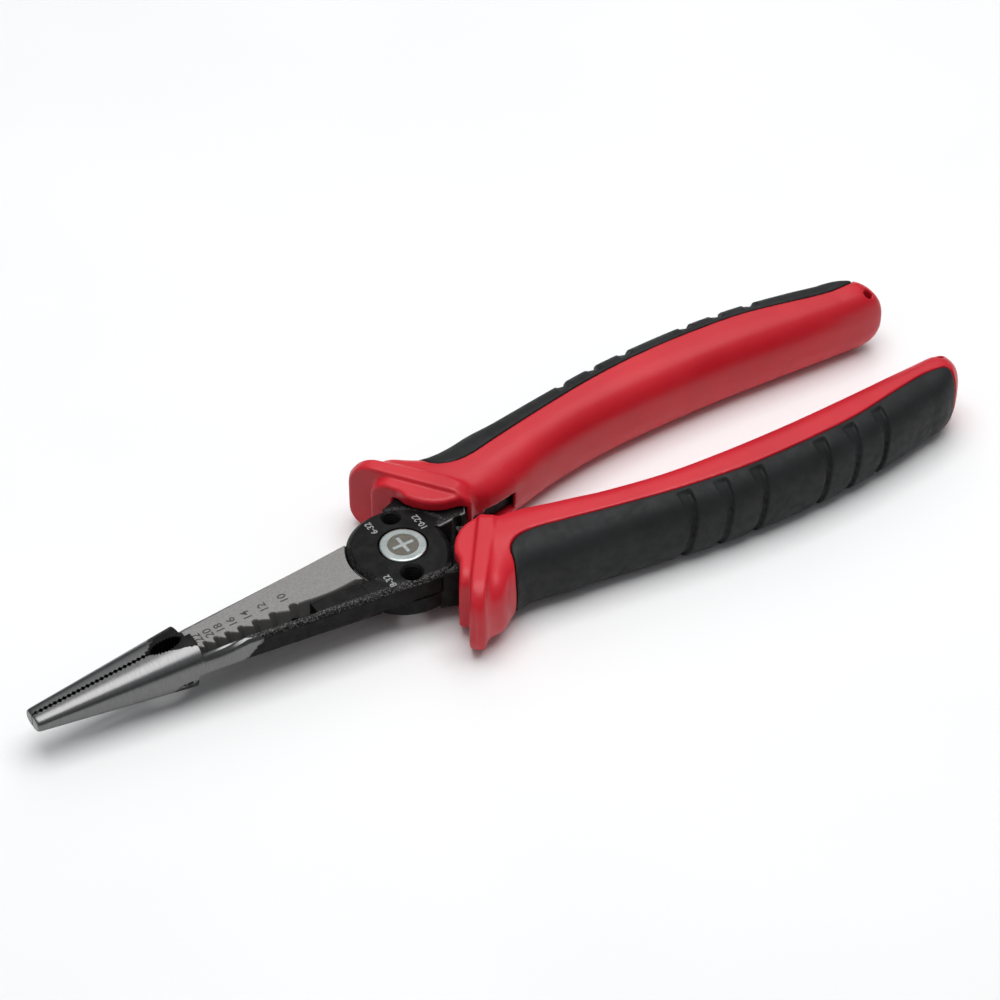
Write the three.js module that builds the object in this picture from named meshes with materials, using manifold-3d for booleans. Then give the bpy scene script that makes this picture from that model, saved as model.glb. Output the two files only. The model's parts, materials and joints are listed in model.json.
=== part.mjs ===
// Long-nose wire stripper, closed. Millimetres, +Z up, jaws toward -X.
// Everything is drawn about the pivot and then moved: the part's origin is the bottom centre of the tool.
import * as THREE from 'three';
import { mergeVertices } from 'three/addons/utils/BufferGeometryUtils.js';
import Module from 'manifold-3d';

const wasm = await Module();
wasm.setup();

// ---- driving dimensions -------------------------------------------------------------------------
const GAP = 0.3; // running gap between two pieces
const TIP_X = -88.5; // end of the nose
const END_X = 136.5; // ends of the handles
const PIVOT_X = -(TIP_X + END_X) / 2; // where the pivot lands in the row's frame
const GUARD_HALF_Z = 9.5; // the finger guards are the tallest part
const BOSS_R = 12.2; // round boss of each half
const BOSS_TOP = 5; // face of the boss above the plane where the halves meet
const BLADE_TOP = 4; // ground face of the stripping blade
const BOSS_CHAMFER = 1.1;
const SWEEP_R = BOSS_R + GAP; // what belongs to the other half, in a boss's layer, stays outside this
const HEAD_R = 5.2;
const HEAD_PROUD = 0.16;
const HEAD_SEAT = 3.7; // floor of the counterbore
const SHANK_R = 3.4;

// ---- small tools --------------------------------------------------------------------------------
function solid(geometry) {
  const bare = new THREE.BufferGeometry();
  bare.setAttribute('position', geometry.getAttribute('position'));
  if (geometry.index) bare.setIndex(geometry.index);
  const g = mergeVertices(bare, 1e-4);
  const mesh = new wasm.Mesh({
    numProp: 3,
    vertProperties: new Float32Array(g.getAttribute('position').array),
    triVerts: new Uint32Array(g.index.array),
  });
  return new wasm.Manifold(mesh);
}

// A plan outline made into a plate between two heights, with an optional rounded or chamfered rim.
function plate(outline, low, high, rim = 0, rimSteps = 1) {
  const shape = new THREE.Shape(outline.map(([x, y]) => new THREE.Vector2(x, y)));
  const g = new THREE.ExtrudeGeometry(shape, {
    depth: high - low - 2 * rim,
    bevelEnabled: rim > 0,
    bevelThickness: rim,
    bevelSize: rim,
    bevelOffset: -rim,
    bevelSegments: rimSteps,
    curveSegments: 12,
  });
  g.translate(0, 0, low + rim);
  return solid(g);
}

// Rings with the same number of points, joined in order and capped at both ends.
function loft(rings) {
  const n = rings[0].length;
  const points = rings.flat();
  const index = [];
  for (let k = 0; k + 1 < rings.length; k++) {
    for (let i = 0; i < n; i++) {
      const a = k * n + i;
      const b = k * n + ((i + 1) % n);
      index.push(a, b, b + n, a, b + n, a + n);
    }
  }
  [rings[0], rings[rings.length - 1]].forEach((ring, end) => {
    const flat = ring.map(([, y, z]) => new THREE.Vector2(y, z));
    const start = end ? (rings.length - 1) * n : 0;
    for (const [a, b, c] of THREE.ShapeUtils.triangulateShape(flat, [])) {
      index.push(...(end ? [start + a, start + b, start + c] : [start + a, start + c, start + b]));
    }
  });
  const g = new THREE.BufferGeometry();
  g.setAttribute('position', new THREE.Float32BufferAttribute(points.flat(), 3));
  g.setIndex(index);
  return solid(g);
}

function disc(radius, low, high, steps = 48, x = 0, y = 0) {
  const g = new THREE.CylinderGeometry(radius, radius, high - low, steps);
  g.rotateX(Math.PI / 2);
  g.translate(x, y, (low + high) / 2);
  return solid(g);
}

function turned(profile, steps = 48) {
  const g = new THREE.LatheGeometry(profile.map(([r, z]) => new THREE.Vector2(r, z)), steps);
  g.rotateX(Math.PI / 2);
  return solid(g);
}

function box(x0, x1, y0, y1, z0, z1) {
  const g = new THREE.BoxGeometry(x1 - x0, y1 - y0, z1 - z0);
  g.translate((x0 + x1) / 2, (y0 + y1) / 2, (z0 + z1) / 2);
  return solid(g);
}

const all = (list) => list.reduce((sum, next) => sum.add(next));
const mix = (a, b, t) => a + (b - a) * t;
const along = (x, x0, v0, x1, v1) => mix(v0, v1, (x - x0) / (x1 - x0));
const turnOver = (piece) => piece.rotate([180, 0, 0]); // half a turn about the long axis

// A smooth curve through [x, value] knots, read at any x.
function through(knots) {
  return (x) => {
    const last = knots.length - 1;
    let k = knots.findIndex(([kx]) => kx > x) - 1;
    if (k === -2) k = last - 1;
    k = Math.max(0, Math.min(last - 1, k));
    const [p0, p1, p2, p3] = [k - 1, k, k + 1, k + 2].map((i) => knots[Math.max(0, Math.min(last, i))]);
    const span = p2[0] - p1[0];
    const t = Math.max(0, Math.min(1, (x - p1[0]) / span));
    const m1 = (span * (p2[1] - p0[1])) / (p2[0] - p0[0]);
    const m2 = (span * (p3[1] - p1[1])) / (p3[0] - p1[0]);
    const s = t * t;
    const c = s * t;
    return (2 * c - 3 * s + 1) * p1[1] + (c - 2 * s + t) * m1 + (3 * s - 2 * c) * p2[1] + (c - s) * m2;
  };
}

function arc(cx, cy, r, from, to, steps) {
  return Array.from({ length: steps + 1 }, (_, i) => {
    const a = mix(from, to, i / steps);
    return [cx + r * Math.cos(a), cy + r * Math.sin(a)];
  });
}

// A rounded-square ring, or part of one, in a plane across the tool.
function roundedRing(x, y, halfY, halfZ, power, angles) {
  const bulge = (v) => Math.sign(v) * Math.abs(v) ** (2 / power);
  return angles.map((a) => [x, y + halfY * bulge(Math.cos(a)), halfZ * bulge(Math.sin(a))]);
}

const spread = (count, from, to) => Array.from({ length: count }, (_, i) => mix(from, to, i / (count - 1)));

// ---- lever half A: jaw on -Y, boss above the meeting plane, tang on +Y ---------------------------
const JAW_BACK_X = -53.4; // square shoulder where the jaw steps down to the blade
const SEAM = GAP / 2;
const TOOTH_PITCH = 1.08;
const TOOTH_DEPTH = 0.6;
const TEETH_FROM = -87.4;
const PIPE_X = -57.4; // middle of the oval pipe grip
const PIPE_HALF_X = 3.9;
const PIPE_HALF_Y = 1.9;

const jawHalfWidth = (x) => along(x, TIP_X, 2.7, JAW_BACK_X, 6.6);
const jawHalfHeight = (x) => along(x, TIP_X, 1.75, JAW_BACK_X, 5.7);
const spineY = (x) => along(x, -52.5, 2.7, -10, 7.45); // outer edge of a blade
const barY = (x) => along(x, -45, 7.5, -15, 10.4); // outer face of the bar beside it
const barInnerY = (x) => along(x, -45, 5.9, -25, 7.8);

// Each notch: wire gauge, x of its middle, radius of its floor.
const NOTCHES = [
  [22, -49.5, 0.5],
  [20, -46.9, 0.6],
  [18, -44.2, 0.68],
  [16, -41.1, 0.78],
  [14, -37.6, 0.85],
  [12, -33.5, 0.95],
  [10, -28.6, 1.1],
];
const NOTCH_FLOOR_Y = -1.95;
const TOOTH_ROOT_Y = -2.6;
const TOOTH_TIP_Y = -3.6;
const CUTTER_X = [-26.2, -13.6];

function jaw() {
  const rings = [];
  const nose = [
    [TIP_X, 0.82],
    [TIP_X + 0.35, 0.95],
    [TIP_X + 0.9, 1],
    [-76, 1],
    [-64, 1],
    [JAW_BACK_X, 1],
  ];
  for (const [x, scale] of nose) {
    const w = jawHalfWidth(x) * scale;
    const h = jawHalfHeight(x) * scale;
    rings.push(roundedRing(x, -SEAM, w, h, 2.5, spread(17, Math.PI / 2, 1.5 * Math.PI)));
  }
  const blank = loft(rings);
  const teeth = [[TIP_X - 1, SEAM]];
  for (let x = TEETH_FROM; x < PIPE_X - PIPE_HALF_X - TOOTH_PITCH / 2; x += TOOTH_PITCH) {
    const half = TOOTH_PITCH * 0.45;
    teeth.push([x - half, -SEAM + 0.01], [x, -SEAM - TOOTH_DEPTH], [x + half, -SEAM + 0.01]);
  }
  teeth.push([-55, -SEAM + 0.01], [-55, SEAM]);
  const steps = 40;
  const grip = Array.from({ length: steps }, (_, i) => {
    const a = (2 * Math.PI * i) / steps;
    const bite = i % 2 ? 0.35 : 0;
    return [PIPE_X + (PIPE_HALF_X - bite) * Math.cos(a), (PIPE_HALF_Y - bite) * Math.sin(a)];
  });
  return blank.subtract(plate(teeth.reverse(), -9, 9)).subtract(plate(grip, -9, 9));
}

// Plan of a stripping blade as seen on half B's upper face; half A carries it turned over.
function bladeOutline() {
  const edge = [
    [JAW_BACK_X - 0.6, SEAM],
    [-51.3, SEAM],
    [-51.3, TOOTH_ROOT_Y],
  ];
  NOTCHES.forEach(([, x, r]) => {
    edge.push([x - r - 0.12, TOOTH_TIP_Y]);
    edge.push(...arc(x, NOTCH_FLOOR_Y - r, r, Math.PI, 0, 6));
    edge.push([x + r + 0.25, TOOTH_ROOT_Y]);
  });
  const [c0, c1] = CUTTER_X;
  edge.push([c0, TOOTH_ROOT_Y - 0.1]);
  for (let i = 1; i <= 8; i++) {
    const t = i / 8;
    edge.push([mix(c0, c1, t), -2.65 - 0.55 * Math.sin(Math.PI * t) - 0.1 * t]);
  }
  const corner = Math.atan2(-3.5, -Math.sqrt(SWEEP_R ** 2 - 3.5 ** 2));
  const top = Math.atan2(7.5, -Math.sqrt(SWEEP_R ** 2 - 7.5 ** 2));
  edge.push(...arc(0, 0, SWEEP_R, corner + 2 * Math.PI, top, 8));
  edge.push([JAW_BACK_X - 0.6, spineY(JAW_BACK_X - 0.6)]);
  return edge;
}

function blade() {
  const flipped = bladeOutline().map(([x, y]) => [x, -y]).reverse();
  return plate(flipped, -BLADE_TOP, -SEAM);
}

// The bar that carries the blade from the jaw to the boss.
function bar() {
  const section = (x, inner, top) => [
    [x, -barY(x), 0],
    [x, -spineY(x), -BLADE_TOP],
    [x, -spineY(x) + 1.4, -BLADE_TOP],
    [x, -3.2, -SEAM],
    [x, -4.4, SEAM],
    [x, -inner, top],
    [x, -barY(x) + 0.9, top],
    [x, -barY(x), top - 0.9],
  ];
  const rear = loft([
    section(JAW_BACK_X - 1, 5.0, 5.5),
    section(-51.6, 5.2, 5.35),
    section(-45, barInnerY(-45), 5.1),
    section(-25, barInnerY(-25), BOSS_TOP),
  ]);
  const front = loft([
    section(-25.6, 4.5, BOSS_TOP),
    section(-18, 4.6, BOSS_TOP),
    section(-14, 4.6, BOSS_TOP),
  ]);
  const block = box(JAW_BACK_X - 1, -51.6, -6.2, -SEAM, SEAM, 5.4);
  return all([rear, front, block]).subtract(disc(SWEEP_R, -9, -SEAM));
}

// The boss's round side, then the bar's outer face, then the flattened side by the crimp dies.
function bossOutline(r) {
  const left = arc(0, 0, r, Math.PI * 0.36, Math.PI * 1.12, 22);
  const foot = [[-15, -4.6], [-15, -barY(-15)], [0, -barY(0) - 0.1], [3.4, -11.9]];
  return [...left, ...foot, [5.6, -10.7], [7.9, -7.8], [9.3, -4.2], [9.9, 1], [9.9, 7]];
}

const CRIMP_X = [9.9, 16.6];
const CRIMP_Y = [1.0, 1.6];
const TANG_OUTER = through([[2, 11.6], [8, 15.6], [18, 16.6], [40, 17.8], [70, 21.6], [96, 21.8]]);
const TANG_INNER = through([[16, 3.4], [26, 6.4], [40, 11.2], [60, 15.2], [80, 17.2], [96, 17.6]]);

function tang(margin, halfZ) {
  const stations = [24, 30, 38, 48, 60, 72, 84, 96 + margin];
  return loft(
    stations.map((x) => {
      const lo = TANG_INNER(x) - margin;
      const hi = TANG_OUTER(x) + margin;
      const h = halfZ + margin;
      return [[x, lo, -h], [x, hi, -h], [x, hi, h], [x, lo, h]];
    }),
  );
}

// Where the boss grows into the tang, behind the pivot: the lower crimp die is its inner edge.
function shoulderOutline(grow) {
  return [
    [2, 12 + grow],
    [4, 4],
    [CRIMP_X[0], CRIMP_Y[0] - grow],
    [CRIMP_X[1] + grow, CRIMP_Y[1] - grow],
    [CRIMP_X[1] + 1.4 + grow, 4.2 - grow],
    [25, TANG_INNER(25) - grow],
    [25, 13.4 + grow],
    [18, 14.4 + grow],
    [12, 15.2 + grow],
    [8, 14.4 + grow],
  ];
}

function shoulder(grow, low, high) {
  return plate(shoulderOutline(grow), low, high);
}

const SCREW_HOLES = [
  [2.2, 8.8, 1.75],
  [-2.7, -8.2, 2.08],
];

function leverBlank() {
  // A bevelled plate is chamfered on both faces, so its lower one is drawn square again.
  const boss = plate(bossOutline(BOSS_R), SEAM, BOSS_TOP, BOSS_CHAMFER)
    .add(plate(bossOutline(BOSS_R), SEAM, BOSS_TOP - BOSS_CHAMFER));
  const upperShoulder = shoulder(0, SEAM, BOSS_TOP);
  const lowerShoulder = shoulder(0, -BOSS_TOP, SEAM + 0.5).subtract(disc(SWEEP_R, -9, SEAM));
  const shoulders = upperShoulder.add(lowerShoulder);
  return all([jaw(), blade(), bar(), boss, shoulders, tang(0, 3.2)]);
}

function drill(lever) {
  let out = lever.subtract(disc(SHANK_R + GAP / 2, -9, 9, 36));
  out = out.subtract(disc(HEAD_R + GAP, HEAD_SEAT, 9)).subtract(disc(HEAD_R + GAP, -9, -HEAD_SEAT));
  for (const [x, y, r] of SCREW_HOLES) out = out.subtract(disc(r, -9, 9, 24, x, y));
  const reach = (CRIMP_X[0] + CRIMP_X[1]) / 2 + 1.2;
  return out.subtract(disc(1.9, -9, 9, 24, reach, 0));
}

// ---- pivot --------------------------------------------------------------------------------------
function pivotBolt() {
  const top = BOSS_TOP + HEAD_PROUD;
  return turned([
    [0, -BOSS_TOP],
    [SHANK_R - 0.4, -BOSS_TOP],
    [SHANK_R, -BOSS_TOP + 0.4],
    [SHANK_R, HEAD_SEAT + GAP / 2],
    [HEAD_R, HEAD_SEAT + GAP / 2],
    [HEAD_R, top - 0.35],
    [HEAD_R - 0.35, top],
    [0, top],
  ]);
}

function pivotNut() {
  const low = -BOSS_TOP - HEAD_PROUD;
  const bore = SHANK_R + GAP / 2;
  return turned([
    [bore, -HEAD_SEAT - GAP / 2],
    [bore, low],
    [HEAD_R - 0.35, low],
    [HEAD_R, low + 0.35],
    [HEAD_R, -HEAD_SEAT - GAP / 2],
    [bore, -HEAD_SEAT - GAP / 2],
  ]);
}

// ---- handle of half A, on +Y --------------------------------------------------------------------
const INNER_EDGE = through([
  [14, 5.2], [20, 4.4], [27, 4.2], [35, 6], [44, 8.5], [58, 11], [74, 12], [90, 12.2], [106, 11.7],
  [120, 11], [130, 10.7],
]);
const OUTER_EDGE = through([
  [14, 21.4], [20, 21.9], [27, 22.2], [36, 23], [51, 25.2], [66, 27.2], [80, 27.9], [92, 27.9],
  [104, 27.1], [116, 25.3], [124, 23.6],
]);
const HALF_HEIGHT = through([[14, 8.6], [24, 8.8], [40, 9], [70, 9.2], [100, 9.2], [125, 8.6]]);
const SECTION_POWER = 2.7; // roundness of the section: 2 is an ellipse, more is squarer
const END_MID_Y = 13.6; // the handle's end is drawn toward its inner side
const SHELL = 2.6; // thickness of the soft grip

function handleBody(inset) {
  const rings = [];
  const straight = [15, 20, 25, 30, 36, 43, 51, 60, 70, 80, 90, 100, 109, 117, 124];
  const capFrom = 124;
  const capLength = END_X - capFrom;
  const add = (x, t) => {
    const inner = mix(INNER_EDGE(x), END_MID_Y - 1, 1 - (1 - t ** 5) ** 0.5);
    const outer = mix(OUTER_EDGE(x), END_MID_Y + 1, 1 - (1 - t ** 1.9) ** 0.62);
    const rise = Math.max(0.28, (1 - t ** 3) ** 0.5);
    const half = Math.max(0.8, (outer - inner) / 2 - inset);
    const halfZ = Math.max(0.8, HALF_HEIGHT(x) * rise - inset);
    const turn = spread(25, 0, 2 * Math.PI).slice(1);
    rings.push(roundedRing(x, (inner + outer) / 2, half, halfZ, SECTION_POWER, turn));
  };
  straight.forEach((x) => add(x, 0));
  [0.2, 0.4, 0.58, 0.74, 0.87, 0.95, 1].forEach((t) => add(capFrom + (capLength - inset) * t, t));
  return loft(rings);
}

const GRIP_EDGE = through([
  [16, 19], [16.6, 16.6], [18.4, 14.5], [21.5, 13.5], [26, 13.7], [31, 14.8], [45, 17.7], [60, 20.3],
  [75, 21.8], [90, 21.9], [104, 21], [118, 18.4], [126, 17.2], [130.5, 17.6],
]);

function gripZone(grow) {
  const x0 = 16 - grow;
  const x1 = 132 + grow;
  const front = [16, 16.6, 17.5, 18.4, 20, 21.5, 23, 25, 28, 32];
  const xs = [...front, 38, 45, 52, 60, 68, 75, 83, 90, 97, 104, 111, 118, 124, 128];
  const rim = xs.map((x) => [x, GRIP_EDGE(x) - grow]);
  rim[0][0] = x0;
  return plate([...rim, [x1 - 0.8, 17.6 - grow], [x1, 18.7 - grow], [x1, 40], [x0, 40]], -12, 12);
}

// The six finger grooves cross the soft grip in two groups of three.
const GROOVES = [57.7, 66.5, 75.4, 92.2, 100.5, 109];

const GROOVE_WIDE = 0.9;
const GROOVE_DEEP = 0.6;
const GROOVE_LEAN = 8; // degrees away from upright

function grooves() {
  const slab = box(-GROOVE_WIDE / 2, GROOVE_WIDE / 2, 0, 40, -14, 14).rotate([0, -GROOVE_LEAN, 0]);
  const slabs = all(GROOVES.map((x) => slab.translate([x, GRIP_EDGE(x) + 1.2, 0])));
  return slabs.subtract(handleBody(GROOVE_DEEP));
}

const GUARD_ROOT = [18.3, 5.0];
const GUARD_TIP = [2.7, 26.2];
const GUARD_THICK = 4.2;

// The finger guard is a flange set across the handle, drawn flat and then swung into place.
function guard() {
  const dx = GUARD_TIP[0] - GUARD_ROOT[0];
  const dy = GUARD_TIP[1] - GUARD_ROOT[1];
  const length = Math.hypot(dx, dy);
  const r = 6;
  const z = GUARD_HALF_Z;
  const outline = [
    [0, -z + 2],
    [2, -z],
    ...arc(length - r, -z + r, r, -Math.PI / 2, 0, 6),
    ...arc(length - r, z - r, r, 0, Math.PI / 2, 6),
    [2, z],
    [0, z - 2],
  ];
  const shape = new THREE.Shape(outline.map(([a, b]) => new THREE.Vector2(a, b)));
  const rim = 0.8;
  const g = new THREE.ExtrudeGeometry(shape, {
    depth: GUARD_THICK - 2 * rim,
    bevelThickness: rim,
    bevelSize: rim,
    bevelOffset: -rim,
    bevelSegments: 2,
    curveSegments: 8,
  });
  g.translate(0, 0, -GUARD_THICK / 2 + rim);
  g.rotateX(Math.PI / 2); // length along X, height along Z
  g.rotateZ(Math.atan2(dy, dx));
  g.translate(GUARD_ROOT[0], GUARD_ROOT[1], 0);
  return solid(g);
}

function handle() {
  const gripPocket = gripZone(GAP).subtract(handleBody(SHELL + GAP));
  const web = plate(
    [[13.5, 8], [17.6, 4.5], [26, 4.3], [27, 20.5], [16.5, 20.6], [10.5, 22], [7, 24.6], [5, 22]],
    -8, 8, 1.6, 2,
  );
  const collar = plate(
    [
      [20, 4.6], [16.5, 3.4], [13.6, 4.4], [11, 6], [8.8, 8.5], [7.4, 11], [6, 14.5], [4, 18],
      [5.8, 19.6], [12, 18],
    ],
    -7, 7, 0.8, 2,
  );
  const body = handleBody(0).add(web).subtract(gripPocket).add(guard()).add(collar);
  const window = box(22.5, 31, 0, 8.8, -2.6, 2.6);
  const lanyard = disc(1, -12, 12, 16, 132.6, 13.4);
  return body
    .subtract(shoulder(GAP, -BOSS_TOP - GAP, BOSS_TOP + GAP))
    .subtract(tang(GAP, 3.2))
    .subtract(disc(SWEEP_R + GAP, -BOSS_TOP - GAP, BOSS_TOP + GAP))
    .subtract(window)
    .subtract(lanyard);
}

function grip() {
  return handleBody(0).intersect(gripZone(0)).subtract(handleBody(SHELL)).subtract(grooves());
}

// ---- pieces -------------------------------------------------------------------------------------
const oxide = { color: 0x2a2b2d, roughness: 0.5, metalness: 0.85 };
const steel = { color: 0xb4b8b8, roughness: 0.28, metalness: 1 };
const red = { color: 0xc5202c, roughness: 0.42, metalness: 0 };
const black = { color: 0x2c2e2f, roughness: 0.75, metalness: 0 };

const part = new THREE.Group();

function addPiece(name, piece, look) {
  const mesh = piece.getMesh();
  const g = new THREE.BufferGeometry();
  g.setAttribute('position', new THREE.BufferAttribute(new Float32Array(mesh.vertProperties), 3));
  g.setIndex(new THREE.BufferAttribute(new Uint32Array(mesh.triVerts), 1));
  g.translate(PIVOT_X, 0, GUARD_HALF_Z);
  const node = new THREE.Mesh(g, new THREE.MeshStandardMaterial(look));
  node.name = name;
  part.add(node);
}

const blank = leverBlank();
const handleA = handle();
const gripA = grip();
addPiece('lever_a', drill(blank), oxide);
addPiece('lever_b', drill(turnOver(blank)), oxide);
addPiece('pivot_bolt', pivotBolt(), steel);
addPiece('pivot_nut', pivotNut(), steel);
addPiece('handle_a', handleA, red);
addPiece('handle_b', turnOver(handleA), red);
addPiece('grip_a', gripA, black);
addPiece('grip_b', turnOver(gripA), black);

export default part;
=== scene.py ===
import json
import math

import bmesh
import bpy
import numpy as np
from mathutils import Matrix, Vector


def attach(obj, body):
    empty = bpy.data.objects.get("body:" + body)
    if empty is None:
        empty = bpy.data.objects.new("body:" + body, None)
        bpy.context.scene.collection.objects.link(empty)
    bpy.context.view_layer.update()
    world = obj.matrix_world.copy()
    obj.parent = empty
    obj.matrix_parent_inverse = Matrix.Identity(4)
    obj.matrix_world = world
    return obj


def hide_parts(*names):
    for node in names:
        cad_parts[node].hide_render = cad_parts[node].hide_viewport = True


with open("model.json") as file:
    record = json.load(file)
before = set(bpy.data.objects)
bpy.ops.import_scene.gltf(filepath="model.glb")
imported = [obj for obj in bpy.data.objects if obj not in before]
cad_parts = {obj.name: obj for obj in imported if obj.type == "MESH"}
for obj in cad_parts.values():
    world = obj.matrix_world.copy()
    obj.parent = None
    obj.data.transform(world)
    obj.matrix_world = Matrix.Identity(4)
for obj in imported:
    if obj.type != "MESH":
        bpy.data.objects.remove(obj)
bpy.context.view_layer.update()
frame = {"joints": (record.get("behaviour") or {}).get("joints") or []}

PIVOT = Vector(frame["joints"][0]["pos_m"])
MM = 0.001

# ---- driving dimensions -----------------------------------------------------------------------------
GAP = 0.3
TIP_X = -88.5
END_X = 136.5
BOSS_R = 12.2
BOSS_TOP = 5.0
BLADE_TOP = 4.0
SEAM = GAP / 2
SWEEP_R = BOSS_R + GAP
HEAD_R = 5.2
HEAD_TOP = BOSS_TOP + 0.16
HEAD_SEAT = 3.7
SHANK_R = 3.4
MARK_R = 3.4
CROSS_HALVES = (2.5, 0.4)  # half length and half width of each arm
GUARD_HALF_Z = 9.5
JAW_BACK_X = -53.4
TOOTH_PITCH = 1.08
TOOTH_DEPTH = 0.43
JAW_POWER = 2.6  # roundness of the jaws' section: 2 is an ellipse, more is squarer
TEETH_FROM = -87.4
PIPE = (-57.4, 3.9, 1.9)  # middle, half length, half width of the oval pipe grip
NOTCHES = [(22, -49.5, 0.5), (20, -46.9, 0.6), (18, -44.2, 0.68), (16, -41.1, 0.78),
           (14, -37.6, 0.85), (12, -33.5, 0.95), (10, -28.6, 1.1)]  # wire gauge, middle, floor radius
NOTCH_FLOOR_Y = -1.95
TOOTH_ROOT_Y = -2.6
TOOTH_TIP_Y = -3.6
BLADE_END_X = -9.4  # the ground flat of the blade ends here, against the boss
HEEL_X = -51.6  # the upper half of each jaw runs on this far
FILLET = 1.7  # where the underside of the jaw rises to the bar
CUTTER_X = (-26.2, -13.6)
CRIMP_X = (9.9, 16.6)
CRIMP_NEST_X = sum(CRIMP_X) / 2 + 1.2
CRIMP_NEST_R = 1.9
SCREW_HOLES = [(2.2, 8.8, 1.75), (-2.7, -8.2, 2.08)]  # x, y and radius, for 6-32 and 8-32 screws
THREAD_PITCH = 0.8
THREAD_DEPTH = 0.34
COUNTERSINK = 0.55
TANG_HALF_Z = 3.2
TANG_END_X = 96
BEYOND = 9  # a height past both faces of the steel, for cuts that go right through
BAR_FRONT = (-45, 7.5)  # x and distance from the middle of the bar's outer edge, front and rear
BAR_REAR = (-15, 10.4)
RIDGE_INSIDE = 0.75
SHELL = 2.6  # thickness of the soft grip
GRID = 0.3  # spacing of the grid that the moulded shapes are worked out on


# ---- curves and outlines ----------------------------------------------------------------------------
def mix(a, b, t):
    return a + (b - a) * t


def line(x0, v0, x1, v1):
    return lambda x: v0 + (v1 - v0) * (x - x0) / (x1 - x0)


def through(knots):
    """A smooth curve through (x, value) knots, for one x or an array of them."""
    kx = np.array([k[0] for k in knots], float)
    kv = np.array([k[1] for k in knots], float)
    chord = (np.roll(kv, -1) - np.roll(kv, 1))[1:-1] / (np.roll(kx, -1) - np.roll(kx, 1))[1:-1]
    ends = np.diff(kv)[[0, -1]] / np.diff(kx)[[0, -1]]
    slope = np.concatenate([ends[:1], chord, ends[1:]])

    def curve(x):
        x = np.clip(x, kx[0], kx[-1])
        k = np.clip(np.searchsorted(kx, x, side="right") - 1, 0, len(kx) - 2)
        span = kx[k + 1] - kx[k]
        t = (x - kx[k]) / span
        s, c = t * t, t * t * t
        rise = (2 * c - 3 * s + 1) * kv[k] + (3 * s - 2 * c) * kv[k + 1]
        return rise + span * ((c - 2 * s + t) * slope[k] + (c - s) * slope[k + 1])

    return curve


def arc(cx, cy, r, start, end, steps):
    angles = np.linspace(start, end, steps + 1)
    return [(cx + r * math.cos(a), cy + r * math.sin(a)) for a in angles]


def circle(cx, cy, r, steps):
    angles = [2 * math.pi * i / steps for i in range(steps)]
    return [(cx + r * math.cos(a), cy + r * math.sin(a)) for a in angles]


def inset(outline, distance):
    """Moves a counter-clockwise outline inward by a distance."""
    result = []
    count = len(outline)
    for i in range(count):
        before, here, after = (Vector(outline[j % count]) for j in (i - 1, i, i + 1))
        first = (here - before).normalized()
        second = (after - here).normalized()
        normal = Vector((-first.y, first.x)) + Vector((-second.y, second.x))
        normal.normalize()
        stretch = max(0.4, normal.dot(Vector((-second.y, second.x))))
        result.append(tuple(here + normal * distance / stretch))
    return result


jaw_half_width = line(TIP_X, 2.7, JAW_BACK_X, 6.6)
jaw_half_height = line(TIP_X, 1.75, JAW_BACK_X, 5.7)
spine_y = line(-52.5, 2.7, -10, 7.45)
bar_y = line(*BAR_FRONT, *BAR_REAR)
bar_inner_y = line(-45, 5.9, -25, 7.8)
tang_outer = through([(2, 11.6), (8, 15.6), (18, 16.6), (40, 17.8), (70, 21.6), (96, 21.8)])
tang_inner = through([(16, 3.4), (26, 5.4), (31.4, 6.3), (42, 11), (60, 15.2), (80, 17.2), (96, 17.6)])


# ---- solids made face by face -----------------------------------------------------------------------
def new_object(name, mesh):
    obj = bpy.data.objects.new(name, mesh)
    bpy.context.scene.collection.objects.link(obj)
    return obj


def solid(name, points, faces):
    mesh = bpy.data.meshes.new(name)
    mesh.from_pydata([tuple(map(float, p)) for p in points], [], faces)
    bm = bmesh.new()
    bm.from_mesh(mesh)
    bmesh.ops.remove_doubles(bm, verts=bm.verts, dist=1e-4)
    bmesh.ops.triangulate(bm, faces=bm.faces)
    bmesh.ops.recalc_face_normals(bm, faces=bm.faces)
    bm.to_mesh(mesh)
    bm.free()
    return new_object(name, mesh)


def loft(rings):
    """Rings with the same number of points, joined in order and capped at both ends."""
    count = len(rings[0])
    points = [p for ring in rings for p in ring]
    faces = []
    for k in range(len(rings) - 1):
        for i in range(count):
            a, b = k * count + i, k * count + (i + 1) % count
            faces.append((a, b, b + count, a + count))
    faces.append(tuple(range(count))[::-1])
    faces.append(tuple(range(len(points) - count, len(points))))
    return solid("loft", points, faces)


def plate(outline, low, high, chamfers=()):
    """A plan outline between two heights; each chamfer is (inset, height) of a ring above the side wall."""
    rings = [[(x, y, low) for x, y in outline]]
    wall_top = high if not chamfers else chamfers[0][1]
    rings.append([(x, y, wall_top) for x, y in outline])
    for distance, height in chamfers[1:]:
        rings.append([(x, y, height) for x, y in inset(outline, distance)])
    return loft(rings)


def turned(profile, x=0.0, y=0.0, steps=96):
    """A closed (radius, height) profile turned about an upright axis."""
    rings = []
    for r, z in profile:
        rings.append([(px, py, z) for px, py in circle(x, y, r, steps)])
    return loft(rings)


def disc(radius, low, high, x=0.0, y=0.0, steps=96):
    return turned([(radius, low), (radius, high)], x, y, steps)


def block(x0, x1, y0, y1, z0, z1):
    return plate([(x0, y0), (x1, y0), (x1, y1), (x0, y1)], z0, z1)


def boolean(base, tool, operation):
    modifier = base.modifiers.new("cut", "BOOLEAN")
    modifier.operation = operation
    modifier.solver = "MANIFOLD"
    modifier.object = tool
    graph = bpy.context.evaluated_depsgraph_get()
    result = bpy.data.meshes.new_from_object(base.evaluated_get(graph))
    base.modifiers.clear()
    base.data = result
    bpy.data.objects.remove(tool)
    return base


def union(first, *others):
    for other in others:
        first = boolean(first, other, "UNION")
    return first


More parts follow.
